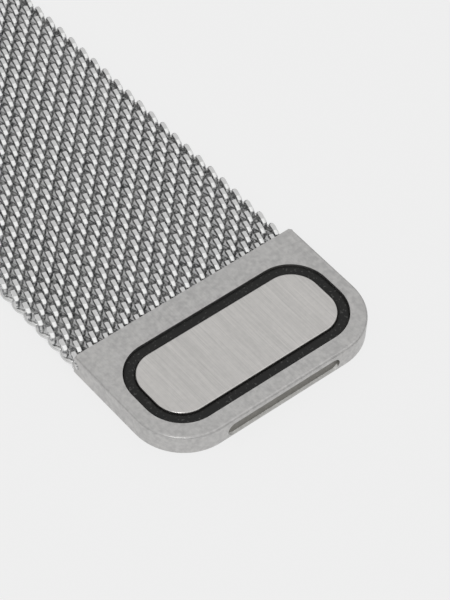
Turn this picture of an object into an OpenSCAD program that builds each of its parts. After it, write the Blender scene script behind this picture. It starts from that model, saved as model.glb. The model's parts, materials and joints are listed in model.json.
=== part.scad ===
/*
Woven steel watch strap, laid open on a table with the side that faces the wrist up.
Its magnetic tab is at the -Y end and its lug end is at the +Y end. A keeper frame
stands round the mesh near the lug end. The origin is the middle of the footprint,
on the table. X runs across the strap, Y along it and Z up.
*/

/* [Strap size] */
// Gap between the watch's lugs that the strap fits
lug_gap = 22; // [18:0.5:24]
// Side clearance between the strap and the lugs
lug_clear = 0.1; // [0.05:0.01:0.15]

/* [Mesh] */
// Thickness of the woven mesh
mesh_t = 1.5; // [1.3:0.05:1.6]
// How far the mesh reaches past the lug end on each side
mesh_over = 0.3; // [0.1:0.05:0.35]
// Distance from one coil row to the next
row_pitch = 0.8; // [0.75:0.01:0.9]
// Coil rows in each stretch of mesh that stays straight
stretch_rows = 16; // [14:1:20]
// How far the valleys between two rows lie below the rows
row_relief = 0.15; // [0.08:0.01:0.18]
// How far the end loops of the rows stand out at the side edges
loop_relief = 0.22; // [0.1:0.01:0.3]
// Openings through the weave in one row
eye_count = 12; // [6:1:12]
// Distance between two openings of a row, one turn of its coil
eye_pitch = 1.6; // [1.5:0.01:1.7]
// Width of an opening
eye_w = 0.45; // [0.2:0.05:0.6]
// How far one stretch bends against the next, each way, in degrees
bend = 20; // [10:1:20]

/* [Magnetic tab] */
// Wall of the tab at each side of the mesh end that it holds
tab_side = 0.35; // [0.3:0.01:0.6]
// Thickness of the tab
tab_t = 2.05; // [2:0.05:2.6]
// Radius of the two front corners in plan
tab_corner_r = 4.75; // [3:0.05:5.5]
// Radius of the tab's upper and lower edges
edge_r = 0.3; // [0.1:0.05:0.4]
// How far the lower part of the rear edge is cut back
rear_cut = 0.75; // [0.2:0.05:0.9]
// Height up to which the rear edge is cut back
rear_cut_h = 1.3; // [0.6:0.05:1.5]
// Distance from the tab's sides to the ring
ring_side = 1.25; // [1:0.05:2]
// Depth of the rubber ring's outline, from its front to its rear
ring_d = 8.75; // [8:0.05:10]
// Outer corner radius of the rubber ring
ring_corner_r = 3.5; // [2.5:0.05:4.2]
// Width of the rubber itself
ring_w = 1; // [0.8:0.05:1.2]
// Height of the rubber ring
ring_t = 0.78; // [0.7:0.01:0.8]
// Distance from the front face to the ring
ring_margin = 1.5; // [1.4:0.05:1.8]
// Distance from the ring to the tab's rear edge
rear_margin = 2.3; // [2:0.05:3]
// Wall between the ring and the end of the mesh
hold_wall = 0.6; // [0.4:0.05:0.8]
// Thickness of the display plate inside the ring
plate_t = 0.53; // [0.4:0.01:0.55]
// Thickness of the yoke plate between the magnets and the display plate
yoke_t = 0.3; // [0.2:0.01:0.35]
// Thickness of the back cover
cover_t = 0.3; // [0.2:0.01:0.35]
// Length of the fingernail slot in the front face
nail_slot_l = 11.5; // [8:0.1:12.5]
// Height of the fingernail slot
nail_slot_h = 0.85; // [0.5:0.01:0.95]
// Depth of the fingernail slot
nail_slot_d = 0.5; // [0.3:0.05:1.1]
// Distance from the display plate's edge to the magnets below it
magnet_edge = 0.5; // [0.4:0.05:0.8]
// Wall between two magnets
magnet_wall = 0.2; // [0.15:0.01:0.3]
// How far the back cover reaches past the display plate's outline
cover_lap = 0.4; // [0.3:0.05:0.6]

/* [Lug end] */
// Wall of the two tubes that hold the spring bars
tube_wall = 0.35; // [0.3:0.01:0.45]
// Thickness of the two jaws that grip the mesh
jaw_t = 0.35; // [0.25:0.01:0.4]
// Rows of mesh held between the jaws
jaw_rows = 4; // [3:1:6]
// Wall between the end of the mesh and the spring bar's bore
jaw_web = 0.35; // [0.3:0.01:0.6]

/* [Keeper] */
// Thickness of the bar that the strap folds round
fold_bar_t = 1.15; // [1:0.05:1.3]
// Height of the slot that the mesh slides through
slot_h = 2.2; // [2.1:0.05:2.6]
// Clearance between the mesh and each side of the slot
slot_side_clear = 0.2; // [0.15:0.05:0.5]
// Thickness of the keeper's two side walls
side_wall_t = 1.2; // [1:0.05:1.6]
// Thickness of the keeper's upper bar
upper_bar_t = 1; // [0.8:0.05:1.3]
// Depth of the keeper along the strap
keeper_d = 2.4; // [2.2:0.05:3]
// Distance from the upper bar to the axis of the keeper's spring bar
neck_h = 1.9; // [1.8:0.05:2.6]
// Thickness of the neck that carries the tube
neck_t = 1.3; // [1:0.05:1.6]
// Outer corner radius of the keeper
keeper_corner_r = 1.6; // [1.3:0.05:1.9]
// Gap between the resting mesh and the bar below it
mesh_float = 0.12; // [0.08:0.01:0.2]

/* [Spring bars] */
// Radius of the sleeve
sleeve_r = 0.9; // [0.85:0.01:0.95]
// Wall of the sleeve
sleeve_wall = 0.16; // [0.12:0.01:0.17]
// Thickness of the sleeve's closed end round the moving tip
sleeve_lip = 0.4; // [0.3:0.05:0.6]
// Radius of the two tips
tip_r = 0.4; // [0.35:0.01:0.45]
// Radius of the neck behind the moving tip
neck_r = 0.58; // [0.56:0.01:0.6]
// How far each tip stands out past the sleeve
tip_l = 1.3; // [1.1:0.05:1.5]
// Travel of the moving tip
tip_travel = 1.2; // [1:0.05:1.3]
// Length of the plunger's shank inside the sleeve
plunger_l = 3.6; // [3.2:0.1:4.2]
// Length of the fixed tip's shank inside the sleeve
fixed_shank_l = 9.8; // [8:0.1:10.5]
// Radius of the release knob's stem
stem_r = 0.3; // [0.25:0.01:0.32]
// Radius of the release knob's head
knob_r = 0.6; // [0.5:0.01:0.65]
// How far the knob stands out past the tube
knob_out = 0.45; // [0.3:0.05:0.8]
// Height of the knob's head
knob_h = 0.85; // [0.6:0.05:1]
// Wire radius of the bar's coil spring
wire_r = 0.1; // [0.08:0.01:0.12]
// Turns of the bar's coil spring
spring_turns = 9; // [6:1:10]

/* [Fits] */
// Running clearance between turning or sliding pieces, on the radius
run_clear = 0.05; // [0.03:0.01:0.07]
// Clearance between pieces that are fastened together
seat_clear = 0.02; // [0.01:0.005:0.03]

/* [Hidden] */
// Stretches of mesh, one node each
stretches = 16;
// The stretch that the keeper stands on
keeper_stretch = 15;
// Facets of a full circle
round_n = 48;
// Share of a row's pitch that each flank of its crown takes
flank_share = 0.18;
// How far a cutting shape runs past the face that it cuts
past = 0.5;
// Gap at the end of the mesh in its slot
end_gap = 0.1;
// What an opening leaves of a crown's length
eye_edge = 0.06;
// Angle that the groove between two stretches keeps free at full bend
groove_spare = 1.5;

// Mesh: its full width, and the width of its ends where something holds them
lug_w = lug_gap - 2 * lug_clear;
mesh_w = lug_w + 2 * mesh_over;
half_t = mesh_t / 2;
valley_t = half_t - row_relief;
stretch_l = stretch_rows * row_pitch;
nose_r = valley_t - 0.1;
socket_r = nose_r + run_clear;
stub_rows = 1;
stub_l = stub_rows * row_pitch;

// Tab in plan
tab_w = lug_w + 2 * tab_side;
tab_l = ring_margin + ring_d + rear_margin;
hold_l = rear_margin - hold_wall;

// Tubes that hold the spring bars
bore_r = sleeve_r + run_clear;
tube_r = bore_r + tube_wall;

// Heights of the middle of the mesh above the table
z_tab = tab_t / 2;
z_keeper = fold_bar_t + mesh_float + half_t;
z_lug = tube_r;
function joint_z(i) =
    i < keeper_stretch - 1 ? z_tab :
    i < keeper_stretch + 1 ? z_keeper : z_lug;
function rise(i) = joint_z(i) - joint_z(i - 1);
function reach(i) = i == 0 ? 0 : reach(i - 1) + sqrt(stretch_l * stretch_l - rise(i) * rise(i));
function tilt(i) = asin(rise(i) / stretch_l);
steepest = max([for (i = [1:stretches]) abs(tilt(i))]);
groove = (bend + steepest + groove_spare) / 2;

// Lug end, measured from the last joint
jaw_l = jaw_rows * row_pitch + end_gap;
lug_axis = stub_l + jaw_l + jaw_web + bore_r;
strap_l = tab_l + stub_l + reach(stretches) + lug_axis + tube_r;

// Places along the strap
y_front = -strap_l / 2;
y_rear = y_front + tab_l;
function joint_y(i) = y_rear + stub_l + reach(i);
y_lug_axis = joint_y(stretches) + lug_axis;
y_keeper = (joint_y(keeper_stretch - 1) + joint_y(keeper_stretch)) / 2;

// Tab, from its lower face up
slot_inner_h = mesh_t + 2 * seat_clear;
well_z = tab_t - (plate_t + yoke_t + seat_clear);
magnet_t = well_z - cover_t;
ring_y = y_front + ring_margin + ring_d / 2;
ring_l = tab_w - 2 * ring_side;
plate_l = ring_l - 2 * ring_w;
plate_d = ring_d - 2 * ring_w;
plate_corner_r = ring_corner_r - ring_w;
cover_l = plate_l + 2 * cover_lap;
cover_d = plate_d + 2 * cover_lap;
magnet_count = 4;
magnet_step = (plate_l - 2 * magnet_edge + magnet_wall) / magnet_count;
magnet_l = magnet_step - magnet_wall - 2 * seat_clear;
magnet_d = plate_d - 2 * magnet_edge;

// Keeper
keeper_slot_w = mesh_w + 2 * slot_side_clear;
keeper_w = keeper_slot_w + 2 * side_wall_t;
upper_bar_z = fold_bar_t + slot_h;
neck_z = upper_bar_z + upper_bar_t;
keeper_axis_z = neck_z + neck_h;

// Spring bars, along their own axis from the middle
sleeve_half = lug_w / 2 - lug_clear;
sleeve_bore_r = sleeve_r - sleeve_wall;
shoulder_x = sleeve_half - sleeve_lip - seat_clear;
plunger_x = shoulder_x - plunger_l;
fixed_end_x = fixed_shank_l - sleeve_half;
knob_x = plunger_x + plunger_l / 2;
shank_r = sleeve_bore_r - run_clear;
coil_r = shank_r - wire_r;
coil_sides = 6;
coil_steps = 8;

function mesh_name(i) = str("mesh_", i < 10 ? "0" : "", i);

steel = [0.72, 0.72, 0.7];
bright_steel = [0.8, 0.8, 0.79];
dark_steel = [0.5, 0.5, 0.51];
rubber = [0.06, 0.06, 0.06];

// Shared outlines

// A rectangle centred on the origin with round corners
module round_rect(w, d, r) {
    square([w, d - 2 * r], center = true);
    square([w - 2 * r, d], center = true);
    for (x = [-1, 1], y = [-1, 1])
        translate([x * (w / 2 - r), y * (d / 2 - r)]) circle(r = r, $fn = round_n);
}

// An outline in Y and Z drawn out along X, centred
module across(w) {
    rotate([90, 0, 90]) linear_extrude(w, center = true) children();
}

// Mesh

// One border of some rows, from one valley to another: each row is a flank, a flat crown
// and a flank, out_at the crown and in_at the valley, with the places along it first
function border(rows, in_at, out_at) = concat(
    [for (r = [0:rows - 1]) each [
        [r * row_pitch, in_at],
        [(r + flank_share) * row_pitch, out_at],
        [(r + 1 - flank_share) * row_pitch, out_at]
    ]],
    [[rows * row_pitch, in_at]]
);
function backwards(points) = [for (k = [len(points) - 1:-1:0]) points[k]];

// The side view of some rows of mesh
module rows_profile(rows) {
    top = border(rows, valley_t, half_t);
    polygon(concat([for (p = top) [p[0], -p[1]]], backwards(top)));
}

// What a bending neighbour needs free on one side of a joint
module groove_profile() {
    top = half_t + past;
    run = top * tan(groove);
    polygon([[-past, -top], [run, -top], [0, 0], [run, top], [-past, top]]);
}

// The plan of some rows of mesh, with their end loops at both edges
module rows_plan(rows, ahead) {
    inner = mesh_w / 2 - loop_relief;
    side = concat(border(rows, inner, mesh_w / 2), [[rows * row_pitch + ahead, inner]]);
    polygon(concat([for (p = side) [p[1], p[0]]], backwards([for (p = side) [-p[1], p[0]]])));
}

// Openings in the crowns of some rows, half a turn of the coil apart from row to row
module eyes(first, last) {
    eye_l = (1 - 2 * flank_share) * row_pitch - eye_edge;
    for (r = [first:last], k = [0:eye_count - 1])
        translate([(k - (eye_count - 1) / 2 + (r % 2 - 0.5) / 2) * eye_pitch, (r + 0.5) * row_pitch])
            square([eye_w, eye_l], center = true);
}

// Rows of mesh with a hollow for the last stretch's nose, a nose of their own, or both
module mesh_rows(rows, socket, nose) {
    l = rows * row_pitch;
    intersection() {
        across(mesh_w) {
            difference() {
                rows_profile(rows);
                if (socket) groove_profile();
                if (socket) circle(r = socket_r, $fn = round_n);
                if (nose) translate([l, 0]) mirror([1, 0]) groove_profile();
            }
            if (nose) translate([l, 0]) circle(r = nose_r, $fn = round_n);
        }
        linear_extrude(mesh_t, center = true) difference() {
            rows_plan(rows, nose ? nose_r : 0);
            eyes(1, rows - 2);
        }
    }
}

// One straight stretch, from its own joint to the next
module mesh_stretch(i) {
    color(steel)
        translate([0, joint_y(i - 1), joint_z(i - 1)])
            rotate([tilt(i), 0, 0]) mesh_rows(stretch_rows, true, true);
}

module mesh_end_front() {
    held_rows = ceil(hold_l / row_pitch);
    color(steel)
        intersection() {
            translate([0, y_rear - held_rows * row_pitch, z_tab])
                mesh_rows(held_rows + stub_rows, false, true);
            union() {
                translate([-lug_w / 2, y_rear - hold_l, 0]) cube([lug_w, tab_l, tab_t]);
                translate([-mesh_w / 2 - past, y_rear + seat_clear, 0])
                    cube([mesh_w + 2 * past, tab_l, tab_t]);
            }
        }
}

module mesh_end_rear() {
    color(steel)
        translate([0, joint_y(stretches), z_lug])
            intersection() {
                mesh_rows(stub_rows + jaw_rows, true, false);
                union() {
                    translate([-lug_w / 2, -jaw_l, -mesh_t]) cube([lug_w, 3 * jaw_l, 2 * mesh_t]);
                    translate([-mesh_w / 2 - past, -jaw_l, -mesh_t])
                        cube([mesh_w + 2 * past, jaw_l + stub_l - seat_clear, 2 * mesh_t]);
                }
            }
}

// Magnetic tab

// Half of the tab's section, as wide as its corners, with round edges
module tab_edge() {
    intersection() {
        translate([0, z_tab]) round_rect(2 * tab_corner_r, tab_t, edge_r);
        square([tab_corner_r, tab_t]);
    }
}

// The tab before anything is cut into it: two round corners, the front between them, the rest
module tab_block() {
    for (x = [0, 1])
        mirror([x, 0, 0]) translate([tab_w / 2 - tab_corner_r, tab_corner_r, 0])
            rotate([0, 0, -90]) rotate_extrude(angle = 90, $fn = round_n) tab_edge();
    across(tab_w - 2 * tab_corner_r) translate([tab_corner_r, 0]) mirror([1, 0]) tab_edge();
    translate([0, tab_l, z_tab]) rotate([90, 0, 0])
        linear_extrude(tab_l - tab_corner_r) round_rect(tab_w, tab_t, edge_r);
}

// What the rear edge is cut back by, from the edge itself
module rear_profile() {
    slope = rear_cut / rear_cut_h;
    polygon([
        [past * slope, rear_cut_h + past], [-rear_cut - past * slope, -past],
        [2 * past, -past], [2 * past, rear_cut_h + past]
    ]);
}

module tab_housing() {
    pocket_d = hold_l + end_gap;
    color(bright_steel)
        difference() {
            translate([0, y_front, 0]) tab_block();
            translate([0, y_rear, 0]) across(tab_w + 2 * past) rear_profile();
            // Well for the ring, the plate and the yoke
            translate([0, ring_y, well_z]) linear_extrude(tab_t) round_rect(ring_l, ring_d, ring_corner_r);
            // Pockets for the magnets and the recess for the back cover
            translate([0, ring_y, -past]) linear_extrude(past + cover_t)
                round_rect(cover_l, cover_d, plate_corner_r);
            magnet_places() translate([0, 0, tab_t / 2])
                cube([magnet_l + 2 * seat_clear, magnet_d + 2 * seat_clear, tab_t], center = true);
            // Slot for the end of the mesh
            translate([0, y_rear - pocket_d / 2 + past / 2, z_tab])
                cube([lug_w + 2 * seat_clear, pocket_d + past, slot_inner_h], center = true);
            // Fingernail slot in the front face
            translate([0, y_front + nail_slot_d, z_tab]) rotate([90, 0, 0])
                linear_extrude(nail_slot_d + past)
                    round_rect(nail_slot_l, nail_slot_h, nail_slot_h / 2 - 0.001);
        }
}

module magnet_places() {
    for (k = [0:magnet_count - 1])
        translate([(k - (magnet_count - 1) / 2) * magnet_step, ring_y, 0]) children();
}

module magnets() {
    color(dark_steel)
        magnet_places() translate([0, 0, cover_t + magnet_t / 2])
            cube([magnet_l, magnet_d, magnet_t], center = true);
}

module yoke_plate() {
    color(dark_steel)
        translate([0, ring_y, well_z]) linear_extrude(yoke_t)
            round_rect(plate_l - 2 * seat_clear, plate_d - 2 * seat_clear, plate_corner_r);
}

module display_plate() {
    color(bright_steel)
        translate([0, ring_y, well_z + yoke_t]) linear_extrude(plate_t)
            round_rect(plate_l - 2 * seat_clear, plate_d - 2 * seat_clear, plate_corner_r);
}

module back_cover() {
    color(bright_steel)
        translate([0, ring_y, 0]) linear_extrude(cover_t)
            round_rect(cover_l - 2 * seat_clear, cover_d - 2 * seat_clear, plate_corner_r);
}

// The rubber's section: upright walls under a round top
module rubber_section() {
    w = ring_w - 2 * seat_clear;
    translate([-w / 2, 0]) square([w, ring_t - w / 2]);
    intersection() {
        translate([0, ring_t - w / 2]) circle(d = w, $fn = round_n);
        translate([-w / 2, 0]) square([w, ring_t]);
    }
}

module rubber_ring() {
    mid_r = ring_corner_r - ring_w / 2;
    run_x = ring_l / 2 - ring_corner_r;
    run_y = ring_d / 2 - ring_corner_r;
    color(rubber)
        translate([0, ring_y, well_z]) {
            for (x = [0, 1], y = [0, 1])
                mirror([x, 0]) mirror([0, y]) translate([run_x, run_y])
                    rotate_extrude(angle = 90, $fn = round_n)
                        translate([mid_r, 0]) rubber_section();
            for (side = [-1, 1]) {
                translate([0, side * (run_y + mid_r), 0])
                    rotate([90, 0, 90]) linear_extrude(2 * run_x, center = true) rubber_section();
                translate([side * (run_x + mid_r), 0, 0])
                    rotate([90, 0, 0]) linear_extrude(2 * run_y, center = true) rubber_section();
            }
        }
}

// Lug end

// The folded sheet: a tube for the spring bar and two jaws on the mesh
module lug_profile() {
    jaw_h = mesh_t + 2 * (seat_clear + jaw_t);
    difference() {
        union() {
            translate([lug_axis, 0]) circle(r = tube_r, $fn = round_n);
            translate([stub_l, -jaw_h / 2]) square([lug_axis - stub_l, jaw_h]);
        }
        translate([stub_l - past, -slot_inner_h / 2]) square([jaw_l + past, slot_inner_h]);
        translate([lug_axis, 0]) circle(r = bore_r, $fn = round_n);
    }
}

module lug_end() {
    color(bright_steel)
        difference() {
            translate([0, joint_y(stretches), z_lug]) across(lug_w) lug_profile();
            translate([0, y_lug_axis, z_lug]) knob_window();
        }
}

// Keeper

module keeper_front() {
    difference() {
        translate([0, neck_z / 2]) round_rect(keeper_w, neck_z, keeper_corner_r);
        translate([0, fold_bar_t + slot_h / 2]) round_rect(keeper_slot_w, slot_h, 0.4);
    }
}

module keeper_side() {
    r = keeper_d / 2;
    translate([0, r]) circle(r = r, $fn = round_n);
    translate([-r, r]) square([keeper_d, neck_z - r]);
}

module keeper_neck() {
    translate([-neck_t / 2, neck_z - past]) square([neck_t, neck_h + past]);
    translate([0, keeper_axis_z]) circle(r = tube_r, $fn = round_n);
}

module keeper() {
    color(bright_steel)
        translate([0, y_keeper, 0]) difference() {
            union() {
                intersection() {
                    rotate([90, 0, 0]) linear_extrude(keeper_d, center = true) keeper_front();
                    across(keeper_w) keeper_side();
                }
                across(lug_w) keeper_neck();
            }
            translate([0, 0, keeper_axis_z]) {
                rotate([0, 90, 0]) cylinder(r = bore_r, h = lug_w + 2 * past, center = true, $fn = round_n);
                rotate([-90, 0, 0]) knob_window();
            }
        }
}

// Spring bars, drawn along X with the knob up

// The window in a tube that the knob travels in
module knob_window() {
    gap = 4 * run_clear;
    x0 = knob_x - tip_travel - knob_r - gap;
    x1 = knob_x + knob_r + gap;
    translate([x0, -knob_r - gap, 0]) cube([x1 - x0, 2 * (knob_r + gap), tube_r + past]);
}

module bar_sleeve() {
    slot_r = stem_r + run_clear;
    difference() {
        rotate([0, 90, 0]) cylinder(r = sleeve_r, h = 2 * sleeve_half, center = true, $fn = round_n);
        translate([-sleeve_half - past, 0, 0]) rotate([0, 90, 0])
            cylinder(r = sleeve_bore_r, h = 2 * sleeve_half + past - sleeve_lip, $fn = round_n);
        rotate([0, 90, 0]) cylinder(r = neck_r + run_clear, h = lug_gap, $fn = round_n);
        translate([knob_x - tip_travel, 0, 0]) cylinder(r = slot_r, h = tube_r, $fn = round_n);
        translate([knob_x, 0, 0]) cylinder(r = slot_r, h = tube_r, $fn = round_n);
        translate([knob_x - tip_travel, -slot_r, 0]) cube([tip_travel, 2 * slot_r, tube_r]);
    }
}

module bar_fixed_tip() {
    translate([-sleeve_half, 0, 0]) rotate([0, 90, 0])
        cylinder(r = sleeve_bore_r - seat_clear, h = fixed_shank_l, $fn = round_n);
    translate([-sleeve_half - tip_l, 0, 0]) rotate([0, 90, 0])
        cylinder(r = tip_r, h = tip_l + past, $fn = round_n);
}

module bar_plunger() {
    difference() {
        union() {
            translate([plunger_x, 0, 0]) rotate([0, 90, 0])
                cylinder(r = shank_r, h = plunger_l, $fn = round_n);
            translate([shoulder_x - past, 0, 0]) rotate([0, 90, 0])
                cylinder(r = neck_r, h = sleeve_half - shoulder_x + past, $fn = round_n);
            translate([sleeve_half - past, 0, 0]) rotate([0, 90, 0])
                cylinder(r = tip_r, h = tip_l + past, $fn = round_n);
        }
        translate([knob_x, 0, -shank_r / 2])
            cylinder(r = stem_r + seat_clear / 2, h = tube_r, $fn = round_n);
    }
}

module bar_knob() {
    head_z = tube_r + knob_out - knob_h;
    translate([knob_x, 0, -shank_r / 2]) cylinder(r = stem_r, h = shank_r / 2 + head_z, $fn = round_n);
    translate([knob_x, 0, head_z]) cylinder(r = knob_r, h = knob_h, $fn = round_n);
}

// Points round the wire at one place along the coil
function coil_ring(x, turn) = [
    for (s = [0:coil_sides - 1])
        let (a = 360 * s / coil_sides, r = coil_r + wire_r * cos(a))
            [x + wire_r * sin(a), r * cos(turn), r * sin(turn)]
];

module bar_spring() {
    x0 = fixed_end_x + wire_r + seat_clear;
    x1 = plunger_x - wire_r - seat_clear;
    n = spring_turns * coil_steps;
    points = [for (k = [0:n]) each coil_ring(x0 + (x1 - x0) * k / n, 360 * k / coil_steps)];
    sides = [for (k = [0:n - 1], s = [0:coil_sides - 1])
        let (a = k * coil_sides + s, b = k * coil_sides + (s + 1) % coil_sides)
            each [[a, b, b + coil_sides], [a, b + coil_sides, a + coil_sides]]];
    first = [for (s = [1:coil_sides - 2]) [0, s + 1, s]];
    last = [for (s = [1:coil_sides - 2]) [n * coil_sides, n * coil_sides + s, n * coil_sides + s + 1]];
    polyhedron(points, concat(sides, first, last));
}

// The bar in the lug end has its knob up
module in_lug_end() {
    color(steel) translate([0, y_lug_axis, z_lug]) children();
}

// The bar in the keeper has its knob towards the lug end
module in_keeper() {
    color(steel) translate([0, y_keeper, keeper_axis_z]) rotate([-90, 0, 0]) children();
}

tab_housing();
display_plate();
rubber_ring();
yoke_plate();
magnets();
back_cover();
mesh_end_front();
for (i = [1:stretches])
    mesh_stretch(i);
mesh_end_rear();
lug_end();
in_lug_end() bar_sleeve();  // lug_bar_sleeve
in_lug_end() bar_fixed_tip();  // lug_bar_fixed_tip
in_lug_end() bar_plunger();  // lug_bar_plunger
in_lug_end() bar_knob();  // lug_bar_knob
in_lug_end() bar_spring();  // lug_bar_spring
keeper();
in_keeper() bar_sleeve();  // keeper_bar_sleeve
in_keeper() bar_fixed_tip();  // keeper_bar_fixed_tip
in_keeper() bar_plunger();  // keeper_bar_plunger
in_keeper() bar_knob();  // keeper_bar_knob
in_keeper() bar_spring();  // keeper_bar_spring
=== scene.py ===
"""Looks of a woven steel watch strap with a magnetic tab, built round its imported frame."""

import json
import logging
import math
from collections.abc import Iterable, Sequence
from dataclasses import dataclass, field
from enum import Enum

import bmesh
import bpy
from mathutils import Matrix, Vector


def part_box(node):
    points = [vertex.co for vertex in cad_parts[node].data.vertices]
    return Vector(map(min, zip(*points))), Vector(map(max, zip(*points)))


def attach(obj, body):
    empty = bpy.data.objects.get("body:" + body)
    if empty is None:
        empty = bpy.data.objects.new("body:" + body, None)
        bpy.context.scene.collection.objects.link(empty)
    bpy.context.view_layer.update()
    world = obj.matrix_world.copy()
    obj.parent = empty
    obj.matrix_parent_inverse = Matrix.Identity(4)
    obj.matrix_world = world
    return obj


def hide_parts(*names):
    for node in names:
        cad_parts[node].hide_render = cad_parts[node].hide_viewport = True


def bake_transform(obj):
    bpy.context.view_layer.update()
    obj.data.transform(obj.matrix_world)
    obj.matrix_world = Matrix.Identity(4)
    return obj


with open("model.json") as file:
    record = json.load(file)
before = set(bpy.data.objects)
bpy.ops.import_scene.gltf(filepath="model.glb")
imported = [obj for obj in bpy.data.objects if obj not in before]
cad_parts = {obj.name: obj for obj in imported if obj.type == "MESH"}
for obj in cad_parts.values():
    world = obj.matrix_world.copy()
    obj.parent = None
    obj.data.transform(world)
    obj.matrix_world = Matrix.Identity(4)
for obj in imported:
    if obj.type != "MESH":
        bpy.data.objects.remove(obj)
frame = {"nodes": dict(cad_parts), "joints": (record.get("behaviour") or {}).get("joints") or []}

LOG = logging.getLogger("strap")
MM = 0.001
# How near two places are, in millimetres, when they count as one
NEAR = 1e-3
SAME = 1e-4
# The Z of a normal between an upright face and a level one
STEEP = 0.5
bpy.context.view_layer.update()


class Slot(Enum):
    """The record's material slots; each softened node holds one, but no piece takes it."""

    BRUSHED = "brushed_steel"
    WOVEN = "woven_steel"
    RUBBER = "rubber"
    BAR = "bar_steel"


class Grain(Enum):
    """The way that a finish's fine lines run, as how far a line reaches along X, Y and Z."""

    ALONG = (1.0, 40.0, 1.0)
    ACROSS = (40.0, 1.0, 1.0)
    NONE = (1.0, 1.0, 1.0)


# Shader expressions


class Value:
    """A shader socket that takes part in Python expressions."""

    def __init__(self, graph: "Graph", socket: bpy.types.NodeSocket) -> None:
        """Keeps the socket and the graph that it belongs to.

        Args:
            graph: the material's graph.
            socket: an output socket of one of its nodes.
        """
        self.graph = graph
        self.socket = socket

    def math(self, operation: str, *others: "Value | float", first: bool = True) -> "Value":
        """Adds a Math node with this value and others.

        Args:
            operation: the Math node's operation.
            others: the other terms.
            first: whether this value is the first term.

        Returns:
            The node's result.
        """
        terms = [self, *others] if first else [*others, self]
        node = self.graph.node("ShaderNodeMath", {"operation": operation}, dict(enumerate(terms)))
        return Value(self.graph, node.outputs[0])

    def __add__(self, other: "Value | float") -> "Value":
        """The sum."""
        return self.math("ADD", other)

    def __sub__(self, other: "Value | float") -> "Value":
        """The difference."""
        return self.math("SUBTRACT", other)

    def __rsub__(self, other: float) -> "Value":
        """The difference from a number."""
        return self.math("SUBTRACT", other, first=False)

    def __mul__(self, other: "Value | float") -> "Value":
        """The product."""
        return self.math("MULTIPLY", other)

    def __pow__(self, other: "Value | float") -> "Value":
        """The power."""
        return self.math("POWER", other)

    def ramp(self, low: float, high: float) -> "Value":
        """Rises smoothly from 0 at low to 1 at high.

        Args:
            low: where the result starts to rise.
            high: where it is full.

        Returns:
            The risen value.
        """
        settings = {"interpolation_type": "SMOOTHSTEP"}
        sockets = {"Value": self, "From Min": low, "From Max": high, "To Min": 0.0, "To Max": 1.0}
        return Value(self.graph, self.graph.node("ShaderNodeMapRange", settings, sockets).outputs[0])

    def blend(self, low: Sequence[float], high: Sequence[float]) -> "Value":
        """Mixes two colours by this value.

        Args:
            low: the colour at 0.
            high: the colour at 1.

        Returns:
            The mixed colour.
        """
        sockets = {"Factor": self, 6: (*low, 1.0), 7: (*high, 1.0)}
        node = self.graph.node("ShaderNodeMix", {"data_type": "RGBA"}, sockets)
        return Value(self.graph, node.outputs[2])


class Graph:
    """One material's node graph."""

    def __init__(self, name: str) -> None:
        """Starts a material with an empty graph.

        Args:
            name: the material's name.
        """
        self.material = bpy.data.materials.new(name)
        self.material.use_nodes = True
        self.tree = self.material.node_tree
        self.tree.nodes.clear()

    def node(self, kind: str, settings: dict | None = None, sockets: dict | None = None) -> bpy.types.Node:
        """Adds a node.

        Args:
            kind: the node's type.
            settings: its own settings, which are set first.
            sockets: values or links of its input sockets, by name or number.

        Returns:
            The node.
        """
        made = self.tree.nodes.new(kind)
        for name, value in (settings or {}).items():
            setattr(made, name, value)
        for name, value in (sockets or {}).items():
            if isinstance(value, Value):
                self.tree.links.new(value.socket, made.inputs[name])
            else:
                made.inputs[name].default_value = value
        return made

    def place(self, stretch: Sequence[float]) -> Value:
        """The object's own coordinates, stretched.

        Args:
            stretch: how much each axis is stretched.

        Returns:
            The coordinates.
        """
        coordinates = Value(self, self.node("ShaderNodeTexCoord").outputs["Object"])
        sockets = {"Vector": coordinates, "Scale": tuple(stretch)}
        return Value(self, self.node("ShaderNodeMapping", None, sockets).outputs[0])

    def noise(
        self, feature: float, grain: Grain = Grain.NONE, detail: float = 2.0, seed: float = 0.0
    ) -> Value:
        """Noise from 0 to 1 with features of one size.

        Args:
            feature: the width of a feature in millimetres.
            grain: the way that the features are drawn out.
            detail: how many finer layers there are.
            seed: picks one of many patterns.

        Returns:
            The noise.
        """
        stretch = [1.0 / (feature * MM * reach) for reach in grain.value]
        sockets = {"Vector": self.place(stretch), "W": seed, "Scale": 1.0, "Detail": detail}
        node = self.node("ShaderNodeTexNoise", {"noise_dimensions": "4D"}, sockets)
        return Value(self, node.outputs["Fac"])

    def attribute(self, name: str) -> Value:
        """A number that the mesh holds.

        Args:
            name: the attribute's name.

        Returns:
            The number.
        """
        return Value(self, self.node("ShaderNodeAttribute", {"attribute_name": name}).outputs["Fac"])

    def bump(self, height: Value, depth: float, strength: float = 1.0) -> Value:
        """A normal from a height.

        Args:
            height: the height, from 0 to 1.
            depth: what a height of 1 means, in millimetres.
            strength: how strongly the bump shows.

        Returns:
            The normal.
        """
        sockets = {"Height": height, "Distance": depth * MM, "Strength": strength}
        return Value(self, self.node("ShaderNodeBump", None, sockets).outputs[0])

    def surface(self, **sockets: object) -> bpy.types.Material:
        """Closes the graph with a principled surface.

        Args:
            sockets: the surface's values, with _ for a space in a name.

        Returns:
            The finished material.
        """
        named = {name.replace("_", " "): value for name, value in sockets.items()}
        shader = Value(self, self.node("ShaderNodeBsdfPrincipled", None, named).outputs[0])
        self.node("ShaderNodeOutputMaterial", None, {"Surface": shader})
        return self.material


# Finishes


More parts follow.
